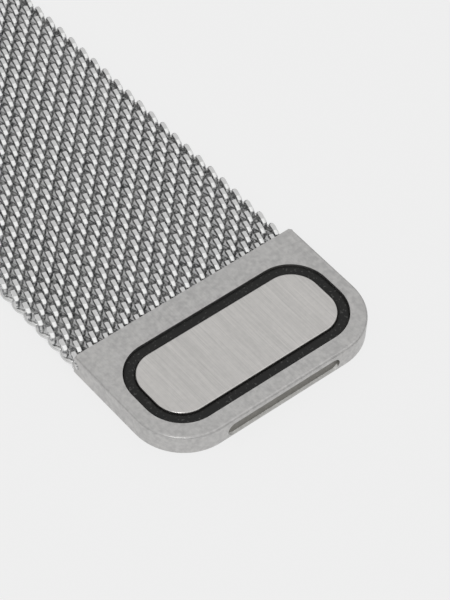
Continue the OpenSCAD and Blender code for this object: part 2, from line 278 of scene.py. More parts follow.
@dataclass(frozen=True)
class BrushedSteel:
    """Steel with brushed lines and a mottled tone. Sizes are in millimetres."""

    name: str
    light: tuple[float, float, float] = (0.56, 0.55, 0.535)
    dark: tuple[float, float, float] = (0.43, 0.425, 0.415)
    grain: Grain = Grain.ALONG
    line: float = 0.07
    rough: float = 0.36
    depth: float = 0.0012
    coarse: float = 6.0
    coarse_share: float = 0.4
    blotch: float = 0.25
    patch: float = 0.38
    contrast: tuple[float, float] = (0.3, 0.7)
    rough_span: float = 0.16

    def make(self) -> bpy.types.Material:
        """Builds the material.

        Returns:
            The material.
        """
        graph = Graph(self.name)
        fine = graph.noise(self.line, self.grain, detail=3.0)
        coarse = graph.noise(self.line * self.coarse, self.grain, detail=2.0, seed=3.0)
        patch = graph.noise(self.patch, detail=3.0, seed=7.0)
        lines = fine * (1.0 - self.coarse_share) + coarse * self.coarse_share
        tone = (lines * (1.0 - self.blotch) + patch * self.blotch).ramp(*self.contrast)
        return graph.surface(
            Base_Color=tone.blend(self.dark, self.light),
            Metallic=1.0,
            Roughness=lines * self.rough_span + (self.rough - self.rough_span / 2),
            Normal=graph.bump(lines, self.depth),
        )


@dataclass(frozen=True)
class DrawnWire:
    """Bright drawn wire, rougher deep in the weave, where it has painted shade and painted glints. Sizes are
    in millimetres.
    """

    name: str
    # The crown colour is the wire's own; the deep colour is painted shade for the inside of the weave
    crown: tuple[float, float, float] = (0.76, 0.76, 0.755)
    deep: tuple[float, float, float] = (0.26, 0.265, 0.27)
    rough: float = 0.25
    dull_rough: float = 0.2
    crown_from: tuple[float, float] = (0.82, 0.97)
    fleck: float = 0.12
    fleck_tone: float = 0.3
    fleck_rough: float = 0.14
    depth: float = 0.002
    # Painted glints: spots of the crown colour scattered through the painted shade
    glint: float = 0.22
    glint_from: tuple[float, float] = (0.44, 0.52)
    glint_share: float = 0.95

    def make(self) -> bpy.types.Material:
        """Builds the material.

        Returns:
            The material.
        """
        graph = Graph(self.name)
        # Painted shade: the crown value, lower deeper in the weave, mixes in the deep colour as shade
        shade = graph.attribute("crown").ramp(*self.crown_from)
        fleck = graph.noise(self.fleck, Grain.ALONG, detail=2.0)
        # Painted glints lift spots of the shade to the crown colour
        glint = graph.noise(self.glint, detail=1.0, seed=2.0).ramp(*self.glint_from) * self.glint_share
        flecked = shade * (fleck * self.fleck_tone + (1.0 - self.fleck_tone / 2))
        tone = flecked.math("MAXIMUM", glint).math("MINIMUM", 1.0)
        rough = fleck * self.fleck_rough + (self.rough - self.fleck_rough / 2)
        return graph.surface(
            Base_Color=tone.blend(self.deep, self.crown),
            Metallic=1.0,
            Roughness=rough + (1.0 - shade) * self.dull_rough,
            Normal=graph.bump(fleck, self.depth),
        )


@dataclass(frozen=True)
class SatinRubber:
    """Black moulded rubber with a little dust. Sizes are in millimetres."""

    name: str
    colour: tuple[float, float, float] = (0.01, 0.01, 0.0095)
    dust: tuple[float, float, float] = (0.07, 0.07, 0.067)
    rough: float = 0.45
    shine: float = 0.25
    pore: float = 0.09
    pore_rough: float = 0.2
    depth: float = 0.006
    relief: float = 0.6
    speck: float = 0.2
    speck_rough: float = 0.3
    speck_from: tuple[float, float] = (0.6, 0.72)

    def make(self) -> bpy.types.Material:
        """Builds the material.

        Returns:
            The material.
        """
        graph = Graph(self.name)
        skin = graph.noise(self.pore, detail=3.0)
        dust = graph.noise(self.speck, detail=1.0, seed=5.0).ramp(*self.speck_from)
        rough = skin * self.pore_rough + (self.rough - self.pore_rough / 2)
        return graph.surface(
            Base_Color=dust.blend(self.colour, self.dust),
            Roughness=rough + dust * self.speck_rough,
            Specular_IOR_Level=self.shine,
            Normal=graph.bump(skin, self.depth, self.relief),
        )


@dataclass(frozen=True)
class Finishes:
    """Every material of the strap, made once."""

    made: dict[str, bpy.types.Material] = field(default_factory=dict)

    def get(self, finish: BrushedSteel | DrawnWire | SatinRubber) -> bpy.types.Material:
        """The material of a finish.

        Args:
            finish: the finish.

        Returns:
            Its material, built at the first call.
        """
        if finish.name not in self.made:
            self.made[finish.name] = finish.make()
        return self.made[finish.name]


FINISHES = Finishes()
PLATE_STEEL = BrushedSteel(
    "plate_steel", (0.72, 0.7, 0.68), (0.56, 0.55, 0.535), line=0.09, depth=0.0006, blotch=0.2
)
BODY_STEEL = BrushedSteel(
    "body_steel", (0.63, 0.622, 0.61), (0.47, 0.465, 0.46), line=0.12, rough=0.45, depth=0.0006, blotch=0.6
)
# Painted shade: a darker copy of the body's steel for the slot's walls
SHADED_SLOT_STEEL = BrushedSteel(
    "slot_steel_painted_shade", (0.31, 0.3, 0.28), (0.2, 0.195, 0.18), Grain.NONE, line=0.1, rough=0.6, depth=0.004
)
# Painted light: a lighter copy of the body's steel for the slot's lower wall, which faces up
LIT_LIP_STEEL = BrushedSteel(
    "lip_steel_painted_light", (0.74, 0.735, 0.71), (0.52, 0.515, 0.5), Grain.NONE, line=0.1, rough=0.6, depth=0.002
)
END_STEEL = BrushedSteel("end_steel", grain=Grain.ACROSS)
NICKEL = BrushedSteel("nickel", (0.62, 0.6, 0.55), (0.5, 0.49, 0.45), Grain.NONE, line=0.3, rough=0.25)
ROLLED_STEEL = BrushedSteel("rolled_steel", (0.42, 0.42, 0.42), (0.33, 0.33, 0.33), line=0.2, rough=0.45)
TURNED_STEEL = BrushedSteel(
    "turned_steel", (0.62, 0.62, 0.61), (0.5, 0.5, 0.5), Grain.NONE, line=0.05, rough=0.3
)
WIRE = DrawnWire("wire")
RUBBER = SatinRubber("ring_rubber")


# Modelling


def only(geom: Iterable[object], kind: type) -> list:
    """The elements of one kind in an operator's result."""
    return [element for element in geom if isinstance(element, kind)]


class Shape:
    """A mesh in work, in millimetres, that becomes one piece.

    An edge is rounded from an angle of CREASE on. Two faces shade as one below CURVE, or below LEVEL where
    the larger is level, and above that only if it is less than MUCH_LARGER times as large as the other.
    """

    BEVEL = {"offset_type": "OFFSET", "profile": 0.5, "material": -1}
    CREASE = math.radians(32)
    CURVE = math.radians(8)
    LEVEL = math.radians(0.5)
    LEVEL_NORMAL = 0.9999
    SAME_WAY = 0.99
    MUCH_LARGER = 8

    def __init__(self) -> None:
        """Starts empty."""
        self.bm = bmesh.new()

    def plate(
        self, width: float, depth: float, centre: Vector, corners: Sequence[float], steps: int
    ) -> bmesh.types.BMFace:
        """Adds a flat face with round corners, seen from above.

        Args:
            width: its size along X.
            depth: its size along Y.
            centre: its middle.
            corners: the radius of the front and of the rear corners.
            steps: segments of each round corner.

        Returns:
            The face.
        """
        others = set(self.bm.faces)
        made = bmesh.ops.create_grid(self.bm, x_segments=1, y_segments=1, size=0.5)["verts"]
        bmesh.ops.transform(self.bm, verts=made, matrix=Matrix.Diagonal((width, depth, 1.0, 1.0)))
        bmesh.ops.translate(self.bm, verts=made, vec=centre)
        face = made[0].link_faces[0]
        front = [v for v in face.verts if v.co.y < centre.y]
        rear = [v for v in face.verts if v.co.y > centre.y]
        for radius, ends in zip(corners, (front, rear)):
            if radius > 0:
                settings = {"offset": radius, "segments": steps, "affect": "VERTICES"}
                bmesh.ops.bevel(self.bm, geom=ends, **settings, **self.BEVEL)
        return next(f for f in self.bm.faces if f not in others)

    def raise_face(self, face: bmesh.types.BMFace, vec: Vector) -> None:
        """Draws a flat face out into a block.

        Args:
            face: the face.
            vec: how far and which way.
        """
        made = bmesh.ops.extrude_face_region(self.bm, geom=[face])["geom"]
        bmesh.ops.translate(self.bm, verts=only(made, bmesh.types.BMVert), vec=vec)

    def sink(self, host: bmesh.types.BMFace, outline: bmesh.types.BMFace, vec: Vector) -> bmesh.types.BMFace:
        """Sinks a pocket into a flat face.

        Args:
            host: the face that the pocket opens in.
            outline: a face in the same plane with the pocket's outline.
            vec: the way into the material and how deep.

        Returns:
            The pocket's floor.
        """
        rim = list(outline.edges)
        border = list(host.edges)
        normal = host.normal.copy()
        bmesh.ops.delete(self.bm, geom=[host, outline], context="FACES_ONLY")
        settings = {"use_beauty": True, "use_dissolve": False, "normal": normal}
        bmesh.ops.triangle_fill(self.bm, edges=border + rim, **settings)
        made = bmesh.ops.extrude_edge_only(self.bm, edges=rim)["geom"]
        bmesh.ops.translate(self.bm, verts=only(made, bmesh.types.BMVert), vec=vec)
        return bmesh.ops.contextual_create(self.bm, geom=only(made, bmesh.types.BMEdge))["faces"][0]

    def slice(self, point: Vector, normal: Vector) -> None:
        """Cuts off what lies beyond a plane and closes the cut.

        Args:
            point: a point of the plane.
            normal: the way to what is cut off.
        """
        geom = [*self.bm.verts, *self.bm.edges, *self.bm.faces]
        plane = {"plane_co": point, "plane_no": normal.normalized()}
        made = bmesh.ops.bisect_plane(self.bm, geom=geom, clear_outer=True, **plane)["geom_cut"]
        bmesh.ops.contextual_create(self.bm, geom=only(made, bmesh.types.BMEdge))

    def face_at(self, point: Vector, normal: Vector) -> bmesh.types.BMFace:
        """The face that is nearest to a point and looks one way.

        Args:
            point: the point.
            normal: the way that the face looks.

        Returns:
            The face.
        """
        self.bm.normal_update()
        turned = [f for f in self.bm.faces if f.normal.dot(normal) > self.SAME_WAY]
        return min(turned, key=lambda f: (f.calc_center_median() - point).length)

    def soften(
        self, width: float, segments: int, edges: Iterable[bmesh.types.BMEdge] | None = None
    ) -> None:
        """Rounds sharp edges.

        Args:
            width: how wide the rounding is.
            segments: its steps.
            edges: the edges of which the sharp ones are rounded, or every edge.
        """
        self.bm.normal_update()
        closed = [e for e in (self.bm.edges if edges is None else edges) if len(e.link_faces) == 2]
        sharp = [e for e in closed if e.calc_face_angle(0.0) > self.CREASE]
        settings = {"offset": width, "segments": segments, "affect": "EDGES", "clamp_overlap": True}
        bmesh.ops.bevel(self.bm, geom=sharp, **settings, **self.BEVEL)

    def finish(
        self, name: str, material: bpy.types.Material, smooth: float, turn: bool = True
    ) -> bpy.types.Object:
        """Ends the work and makes the object.

        Args:
            name: the piece's name.
            material: its material.
            smooth: the angle in degrees up to which neighbouring faces shade as one.
            turn: whether the faces are first turned to point outwards.

        Returns:
            The object, in metres.
        """
        bm = self.bm
        if turn:
            bmesh.ops.recalc_face_normals(bm, faces=bm.faces)
        for face in bm.faces:
            face.smooth = True
        limit = math.radians(smooth)
        for edge in bm.edges:
            edge.smooth = not edge.seam and (len(edge.link_faces) != 2 or self.flows(edge, limit))
        bmesh.ops.transform(bm, verts=bm.verts, matrix=Matrix.Scale(MM, 4))
        mesh = bpy.data.meshes.new(name)
        bm.to_mesh(mesh)
        bm.free()
        mesh.materials.append(material)
        piece = bpy.data.objects.new(name, mesh)
        bpy.context.scene.collection.objects.link(piece)
        return piece

    def flows(self, edge: bmesh.types.BMEdge, limit: float) -> bool:
        """Whether the two faces of an edge shade as one; a large flat face keeps its own shading.

        Args:
            edge: the edge.
            limit: the angle up to which they may, in radians.

        Returns:
            True if they do.
        """
        small, large = sorted(edge.link_faces, key=bmesh.types.BMFace.calc_area)
        angle = edge.calc_face_angle(0.0)
        near = self.LEVEL if abs(large.normal.z) > self.LEVEL_NORMAL else self.CURVE
        alike = large.calc_area() < self.MUCH_LARGER * small.calc_area()
        return angle < limit and (angle < near or alike)


def low(node: str) -> Vector:
    """The lowest corner of a frame node, in millimetres."""
    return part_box(node)[0] / MM


def high(node: str) -> Vector:
    """The highest corner of a frame node, in millimetres."""
    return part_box(node)[1] / MM


def centre_of(node: str) -> Vector:
    """The middle of a frame node's box, in millimetres."""
    return (low(node) + high(node)) / 2


@dataclass
class MagneticTab:
    """The tab: housing, ring, plate and what is under them. Sizes are in millimetres, smooth in degrees."""

    corner_r: float = 4.75
    ring_r: float = 3.5
    ring_w: float = 1.0
    seat: float = 0.02
    hold_d: float = 1.8
    hold_h: float = 1.54
    ring_arch: float = 0.3
    ring_sunk: float = 0.08
    slot_l: float = 11.5
    slot_h: float = 1.33
    slot_at: float = -0.14
    slot_flat: float = 0.002
    slot_d: float = 0.2
    lip: float = 0.14
    cover_t: float = 0.3
    edge_round: float = 0.3
    rim_round: float = 0.09
    plate_round: float = 0.08
    cut_l: float = 0.75
    cut_h: float = 1.3
    cut_over: float = 0.03
    corner_steps: int = 18
    slot_steps: int = 8
    edge_steps: int = 5
    rim_steps: int = 3
    plate_steps: int = 16
    cover_steps: int = 12
    ring_steps: int = 12
    arch_steps: int = 20
    smooth: float = 28.0
    ring_smooth: float = 50.0

    def build(self) -> list[bpy.types.Object]:
        """Builds and places every piece, and dresses what is under them.

        Returns:
            The new pieces.
        """
        made = [self.housing(), self.ring(), self.plate()]
        for node, finish in (("magnets", NICKEL), ("yoke_plate", ROLLED_STEEL), ("back_cover", BODY_STEEL)):
            dress(frame["nodes"][node], FINISHES.get(finish))
        return made

    def opening(self, node: str) -> Vector:
        """The size of a frame node's box with the seat's clearance round it."""
        return high(node) - low(node) + Vector((2, 2, 0)) * self.seat

    def housing(self) -> bpy.types.Object:
        """The milled housing with its well, its slots and its round edges.

        Returns:
            The piece.
        """
        a, b, middle = low("tab_housing"), high("tab_housing"), centre_of("tab_housing")
        size = b - a
        well, well_at = self.opening("rubber_ring"), centre_of("rubber_ring")
        shape = Shape()
        foot_at = Vector((middle.x, middle.y, a.z))
        foot = shape.plate(size.x, size.y, foot_at, (self.corner_r, 0.0), self.corner_steps)
        shape.raise_face(foot, Vector((0, 0, size.z)))
        up, down = Vector((0, 0, 1)), Vector((0, 0, -1))
        cut_z = a.z + middle.z - self.hold_h / 2 - self.cut_over
        shape.slice(Vector((0, b.y, cut_z)), Vector((0, self.cut_h, -self.cut_l)))
        bmesh.ops.recalc_face_normals(shape.bm, faces=shape.bm.faces)
        top = shape.face_at(Vector((middle.x, middle.y, b.z)), up)
        rim_at = Vector((well_at.x, well_at.y, b.z))
        outline = shape.plate(well.x, well.y, rim_at, (self.ring_r,) * 2, self.corner_steps)
        shape.sink(top, outline, down * (b.z - low("rubber_ring").z))
        cover, cover_at = self.opening("back_cover"), centre_of("back_cover")
        base = shape.face_at(Vector((middle.x, middle.y, a.z)), down)
        recess_at = Vector((cover_at.x, cover_at.y, a.z))
        inner_r = self.ring_r - self.ring_w
        outline = shape.plate(cover.x, cover.y, recess_at, (inner_r, inner_r), self.cover_steps)
        shape.sink(base, outline, up * self.cover_t)
        front = shape.face_at(Vector((middle.x, a.y, middle.z)), Vector((0, -1, 0)))
        slot_at = Vector((middle.x, a.y, middle.z + self.slot_at))
        slot_r = (self.slot_h - self.slot_flat) / 2
        outline = self.upright(shape, self.slot_l, self.slot_h, slot_at, slot_r)
        floor = shape.sink(front, outline, Vector((0, self.slot_d, self.lip)))
        bmesh.ops.recalc_face_normals(shape.bm, faces=shape.bm.faces)
        # The slot's walls take painted shade, and its lower wall, which faces up, painted light
        for face in {f for e in floor.edges for f in e.link_faces}:
            face.material_index = 2 if face.normal.z > STEEP else 1
        rear = shape.face_at(Vector((middle.x, b.y, middle.z)), Vector((0, 1, 0)))
        hold_w = high("lug_end").x - low("lug_end").x + 2 * self.seat
        hold_at = Vector((middle.x, b.y, middle.z))
        outline = self.upright(shape, hold_w, self.hold_h, hold_at, 0.0)
        shape.sink(rear, outline, Vector((0, -self.hold_d, 0)))
        bmesh.ops.recalc_face_normals(shape.bm, faces=shape.bm.faces)
        skin = [e for e in shape.bm.edges if self.on_skin(e, a, b)]
        shape.soften(self.edge_round, self.edge_steps, skin)
        rims = [e for e in shape.bm.edges if self.on_rim(e, a, b)]
        shape.soften(self.rim_round, self.rim_steps, rims)
        piece = shape.finish("housing", FINISHES.get(BODY_STEEL), self.smooth)
        for finish in (SHADED_SLOT_STEEL, LIT_LIP_STEEL):
            piece.data.materials.append(FINISHES.get(finish))
        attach(piece, "tab")
        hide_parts("tab_housing")
        return piece

    def upright(
        self, shape: Shape, width: float, height: float, centre: Vector, radius: float
    ) -> bmesh.types.BMFace:
        """An outline that stands across the strap.

        Args:
            shape: the shape that it joins.
            width: its size along X.
            height: its size along Z.
            centre: its middle.
            radius: its corner radius.

        Returns:
            The face.
        """
        face = shape.plate(width, height, Vector((0, 0, 0)), (radius, radius), self.slot_steps)
        matrix = Matrix.Translation(centre) @ Matrix.Rotation(math.radians(90), 4, "X")
        bmesh.ops.transform(shape.bm, verts=list(face.verts), matrix=matrix)
        return face

    @staticmethod
    def on_skin(edge: bmesh.types.BMEdge, a: Vector, b: Vector) -> bool:
        """Whether an edge of the housing lies along its outer top or bottom border, the rear left out.

        Args:
            edge: the edge.
            a: the housing's lowest corner.
            b: its highest corner.

        Returns:
            True for the borders that are rounded.
        """
        level = any(all(abs(v.co.z - z) < NEAR for v in edge.verts) for z in (a.z, b.z))
        upright = [f for f in edge.link_faces if abs(f.normal.z) < STEEP]
        lid = [f for f in edge.link_faces if abs(f.normal.z) > STEEP]
        if not level or len(upright) != 1 or len(lid) != 1:
            return False
        middle = (edge.verts[0].co + edge.verts[1].co) / 2
        outward = middle - (a + b) / 2
        outward.z = 0
        return upright[0].normal.dot(outward) > 0 and abs(middle.y - b.y) > NEAR

    @staticmethod
    def on_rim(edge: bmesh.types.BMEdge, a: Vector, b: Vector) -> bool:
        """Whether an edge is the sharp rim of the well or of the fingernail slot.

        Args:
            edge: the edge.
            a: the housing's lowest corner.
            b: its highest corner.

        Returns:
            True for those rims.
        """
        top = all(abs(v.co.z - b.z) < SAME for v in edge.verts)
        front = all(abs(v.co.y - a.y) < SAME for v in edge.verts)
        return top or front

    def ring(self) -> bpy.types.Object:
        """The rubber ring: an arched section spun round the corners and drawn along the sides.

        Returns:
            The piece.
        """
        a, b, middle = low("rubber_ring"), high("rubber_ring"), centre_of("rubber_ring")
        half = (b - a) / 2
        radius = self.ring_w / 2 - self.seat
        path_r = self.ring_r - self.ring_w / 2
        run = Vector((half.x + self.seat - self.ring_r, half.y + self.seat - self.ring_r, 0))
        shape = Shape()
        bm = shape.bm
        crown = b.z - self.ring_sunk - radius * self.ring_arch
        matrix = Matrix.Translation((middle.x - run.x - path_r, middle.y - run.y, crown))
        matrix = matrix @ Matrix.Rotation(math.radians(90), 4, "X")
        section = {"cap_ends": False, "radius": radius, "segments": self.arch_steps, "matrix": matrix}
        arch = bmesh.ops.create_circle(bm, **section)["verts"]
        bmesh.ops.delete(bm, geom=[v for v in arch if v.co.z < crown - SAME], context="VERTS")
        ends = [v for v in bm.verts if abs(v.co.z - crown) < SAME]
        for vert in bm.verts:
            vert.co.z = crown + (vert.co.z - crown) * self.ring_arch
        feet = [bmesh.ops.extrude_vert_indiv(bm, verts=[v])["verts"][0] for v in ends]
        for foot in feet:
            foot.co.z = a.z
        line = list(bm.edges)
        for index in range(4):
            quarter = math.radians(90)
            side_x, side_y = (-1 if index in (0, 3) else 1), (-1 if index in (0, 1) else 1)
            centre = (middle.x + side_x * run.x, middle.y + side_y * run.y, 0)
            corner = {"cent": centre, "axis": (0, 0, 1), "dvec": (0, 0, 0), "angle": quarter}
            made = bmesh.ops.spin(
                bm, geom=line, steps=self.ring_steps, use_merge=False, use_duplicate=False, **corner
            )
            line = only(made["geom_last"], bmesh.types.BMEdge)
            way = Matrix.Rotation(quarter * index, 3, "Z") @ Vector((1, 0, 0))
            length = 2 * (run.x if index % 2 == 0 else run.y)
            drawn = bmesh.ops.extrude_edge_only(bm, edges=line)["geom"]
            bmesh.ops.translate(bm, verts=only(drawn, bmesh.types.BMVert), vec=way * length)
            line = only(drawn, bmesh.types.BMEdge)
        bmesh.ops.remove_doubles(bm, verts=bm.verts, dist=NEAR)
        bmesh.ops.bridge_loops(bm, edges=[e for e in bm.edges if len(e.link_faces) == 1])
        piece = shape.finish("ring", FINISHES.get(RUBBER), self.ring_smooth)
        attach(piece, "tab")
        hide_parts("rubber_ring")
        return piece

    def plate(self) -> bpy.types.Object:
        """The display plate inside the ring.

        Returns:
            The piece.
        """
        a, b, middle = low("display_plate"), high("display_plate"), centre_of("display_plate")
        size = b - a
        shape = Shape()
        foot_at = Vector((middle.x, middle.y, a.z))
        inner_r = self.ring_r - self.ring_w
        foot = shape.plate(size.x, size.y, foot_at, (inner_r, inner_r), self.plate_steps)
        shape.raise_face(foot, Vector((0, 0, size.z)))
        bmesh.ops.recalc_face_normals(shape.bm, faces=shape.bm.faces)
        upper = [e for e in shape.bm.edges if all(v.co.z > middle.z for v in e.verts)]
        shape.soften(self.plate_round, self.rim_steps, upper)
        piece = shape.finish("plate", FINISHES.get(PLATE_STEEL), self.smooth)
        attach(piece, "tab")
        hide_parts("display_plate")
        return piece


def dress(piece: bpy.types.Object, material: bpy.types.Material) -> None:
    """Gives a piece one material in place of those that it has.

    Args:
        piece: the piece.
        material: its material.
    """
    piece.data.materials.clear()
    piece.data.materials.append(material)
    LOG.info("%s: dressed in %s", piece.name, material.name)


@dataclass
class SoftenedNode:
    """A turned or milled piece made from a frame node, with its sharp edges broken, in millimetres."""

    node: str
    body: str
    slot: Slot
    finish: BrushedSteel
    width: float
    segments: int = 2
    smooth: float = 30.0

    def build(self) -> bpy.types.Object:
        """Builds and places the piece.

        Returns:
            The piece.
        """
        shape = Shape()
        bm = shape.bm
        bm.from_mesh(frame["nodes"][self.node].data)
        bmesh.ops.transform(bm, verts=bm.verts, matrix=Matrix.Scale(1 / MM, 4))
        bmesh.ops.remove_doubles(bm, verts=bm.verts, dist=SAME)
        flat = {"angle_limit": math.radians(1), "use_dissolve_boundaries": False}
        bmesh.ops.dissolve_limit(bm, verts=bm.verts, edges=bm.edges, **flat)
        shape.soften(self.width, self.segments)
        piece = shape.finish(f"{self.node}_piece", FINISHES.get(self.finish), self.smooth, turn=False)
        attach(piece, self.body)
        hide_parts(self.node)
        return piece


@dataclass
class Weave:
    """The woven mesh: rows of flattened coils, each hooked into the next, in millimetres.

    A coil's wire follows half_turn, over the top and then, turned about, under the bottom. Its crowns are
    ground to a ridge with a fall on each side, and its shading breaks at the stations of facets.
    """

    row_pitch: float = 0.8
    rows: int = 16
    thickness: float = 1.5
    wire_r: float = 0.25
    coil_pitch: float = 1.577
    turns: int = 14
    sides: int = 8
    shift: tuple[float, float, float] = (-0.28, -0.18, -0.08)
    ridge: float = -0.18
    facets: tuple[int, ...] = (2, 3, 4)
    falls: tuple[float, float] = (0.3, 0.03)
    ground: float = 0.96
    # Crown values that set painted shade: for the wire below the crowns, times its height, and for the
    # border wire, painted almost fully lit
    wire_shade_scale: float = 0.8
    border_shade_level: float = 0.97
    borders: tuple[float, float] = (-11.22, 10.75)
    scallop: float = 0.4
    scallop_power: float = 2.2
    border_in: float = 0.1
    border_r: float = 0.21
    border_at: tuple[float, float] = (0.62, -0.3)
    border_steps: int = 8
    late_border: float = 0.4
    held_rows: int = 4
    smooth: float = 60.0
    stub: float = 0.8
    by_keeper: tuple[int, int] = (14, 15)
    short_bend: float = 1.2
    half_turn: tuple[tuple[float, float, float], ...] = (
        (-0.394, -0.62, 0.0),
        (-0.22, -0.6, 0.27),
        (-0.165, -0.49, 0.46),
        (-0.08, -0.2, 0.573),
        (0.1, 0.4, 0.555),
        (0.2, 0.58, 0.37),
    )

    def __post_init__(self) -> None:
        """Reads the joints from the frame and makes one coil of each kind."""
        bends = {j["name"]: j for j in frame["joints"] if j["name"].startswith("bend_")}
        self.joints = [Vector(bends[name]["pos_m"]) / MM for name in sorted(bends)]
        self.bodies = ["tab", *[f"mesh_{i:02d}" for i in range(1, len(self.joints))], "lug"]
        self.coils = (self.coil(1), self.coil(-1), self.coil(-1, self.late_border))

    def build(self) -> list[bpy.types.Object]:
        """Builds every piece of mesh, one round each joint."""
        return [self.piece(index) for index in range(len(self.joints))]

    def wire(
        self, bm: bmesh.types.BMesh, path: Sequence[Vector], radius: float, seams: Iterable[int] = ()
    ) -> list[bmesh.types.BMVert]:
        """Draws a round wire along a path.

        Args:
            bm: the mesh that it joins.
            path: the wire's centreline.
            radius: the wire's radius.
            seams: the places along the path where the shading breaks.

        Returns:
            The wire's vertices.
        """
        first = len(bm.verts)
        circle = {"cap_ends": False, "radius": 1.0, "segments": self.sides}
        section = bmesh.ops.create_circle(bm, matrix=Matrix.Translation((0, -5, 0)), **circle)["verts"]
        edges = list({e for v in section for e in v.link_edges})
        steps = len(path) - 1
        # The spin joins the rings into a tube, and each vertex is then put round its place on the path
        sweep = {"cent": (0, 0, 0), "axis": (1, 0, 0), "dvec": (0, 0, 0), "angle": -3.0}
        bmesh.ops.spin(
            bm, geom=section + edges, steps=steps, use_merge=False, use_duplicate=False, **sweep
        )
        bm.verts.ensure_lookup_table()
        made = bm.verts[first:]
        for index, vert in enumerate(made):
            ring, side = divmod(index, self.sides)
            along = (path[min(ring + 1, steps)] - path[max(ring - 1, 0)]).normalized()
            out = Vector((1, 0, 0)).cross(along).normalized()
            turn = 2 * math.pi * side / self.sides
            vert.co = path[ring] + radius * (out * math.cos(turn) - along.cross(out) * math.sin(turn))
        rank = {vert: index // self.sides for index, vert in enumerate(made)}
        for edge in {e for v in made for e in v.link_edges}:
            edge.seam = rank[edge.verts[0]] == rank[edge.verts[1]] and rank[edge.verts[0]] in seams
        for ring in (made[: self.sides], made[-self.sides :]):
            around = {e for v in ring for e in v.link_edges if all(end in ring for end in e.verts)}
            bmesh.ops.contextual_create(bm, geom=list(around))
        return made

    def coil(self, side: int, first: float = -1.0) -> bpy.types.Mesh:
        """One row's coil, its crowns ground flat, and the wire that closes the border on one side.

        Args:
            side: the side that it reaches further out to, -1 for left and 1 for right.
            first: where the border's wire starts, from -1 for its near end to 1 for its far end.

        Returns:
            The coil's mesh in millimetres, about the row's own middle.
        """
        bm = bmesh.new()
        crown = bm.verts.layers.float.new("crown")
        halves = 2 * self.turns - (side > 0)
        path = []
        for half in range(halves + 1):
            way = 1 if half % 2 == 0 else -1
            for x, y, z in self.half_turn:
                across = self.coil_pitch * (half / 2 + 0.5 + side / 4 - self.turns / 2) + x + self.shift[0]
                across = max(across, self.borders[0] + self.border_in)
                across = min(across, self.borders[1] - self.border_in)
                path.append(Vector((across, way * y, way * z)))
        per = len(self.half_turn)
        path = path[: halves * per + 1]
        seams = [k for k in range(len(path)) if k % per in self.facets]
        # The crown value sets painted shade: 1 on the ground crowns, and lower the deeper the wire lies
        for vert in self.wire(bm, path, self.wire_r, seams):
            way = 1 if vert.co.z > 0 else -1
            beyond = way * vert.co.y - self.ridge
            fall = self.falls[1] * beyond if beyond > 0 else -self.falls[0] * beyond
            limit = self.thickness / 2 - fall
            if way * vert.co.z > self.ground * limit:
                vert.co.z = way * min(way * vert.co.z, limit)
                vert[crown] = 1.0
            else:
                vert[crown] = self.wire_shade_scale * way * vert.co.z / limit
        along, level = self.border_at
        arc = []
        for step in range(self.border_steps + 1):
            k = first + (1 - first) * step / self.border_steps
            across = self.borders[side > 0] - side * self.scallop * abs(k) ** self.scallop_power
            arc.append(Vector((across, side * along + self.row_pitch * k, level)))
        # The border wire is painted almost fully lit
        for vert in self.wire(bm, arc, self.border_r):
            vert[crown] = self.border_shade_level
        bmesh.ops.recalc_face_normals(bm, faces=bm.faces)
        mesh = bpy.data.meshes.new("coil")
        bm.to_mesh(mesh)
        bm.free()
        return mesh

    def places(self, index: int) -> list[tuple[Matrix, int]]:
        """Where the rows of one piece lie.

        Args:
            index: the joint that the piece goes round.

        Returns:
            A matrix and the kind of coil for each row.
        """
        half = self.rows // 2
        here = self.joints[index]
        straight = here + Vector((0, 1, 0))
        # At the front two rows are held in the tab, and the border wire of the second starts late
        if index > 0:
            made = [self.row(self.joints[index - 1], here, r) for r in range(half, self.rows)]
        else:
            made = [(self.row(here, straight, r)[0], kind) for r, kind in ((-2, 0), (-1, 2))]
        if index < len(self.joints) - 1:
            made += [self.row(here, self.joints[index + 1], r) for r in range(half)]
        else:
            made += [self.row(here, straight, r) for r in range(self.held_rows)]
        return made

    def row(self, start: Vector, end: Vector, r: int) -> tuple[Matrix, int]:
        """The place of one row.

        Args:
            start: the joint that the rows are counted from.
            end: the way that they run to.
            r: the row's number.

        Returns:
            Its matrix and its kind of coil.
        """
        way = (end - start).normalized()
        tilt = Matrix.Rotation(math.atan2(way.z, way.y), 4, "X")
        there = start + way * ((r + 0.5) * self.row_pitch + self.shift[1]) + Vector((0, 0, self.shift[2]))
        return Matrix.Translation(there) @ tilt, r % 2

    def piece(self, index: int) -> bpy.types.Object:
        """One piece of mesh, from the middle of a stretch to the middle of the next.

        Args:
            index: the joint in its middle.

        Returns:
            The piece.
        """
        shape = Shape()
        bm = shape.bm
        for matrix, kind in self.places(index):
            old = len(bm.verts)
            bm.from_mesh(self.coils[kind])
            bm.verts.ensure_lookup_table()
            bmesh.ops.transform(bm, verts=bm.verts[old:], matrix=matrix)
        name = f"weave_{index:02d}"
        piece = shape.finish(name, FINISHES.get(WIRE), self.smooth, turn=False)
        last = len(self.joints) - 1
        here = self.joints[index]
        start = (self.joints[index - 1] + here) / 2 if index else here - Vector((0, self.stub, 0))
        end = (here + self.joints[index + 1]) / 2 if index < last else here + Vector((0, self.stub, 0))
        if index in self.by_keeper:
            start, end = (here + (place - here).normalized() * self.short_bend for place in (start, end))
        start * MM
        end * MM
        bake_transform(piece)
        nodes = ["mesh_end_front"] if index == 0 else [f"mesh_{index:02d}"]
        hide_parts(*nodes, *(["mesh_end_rear"] if index == last else []))
        return piece


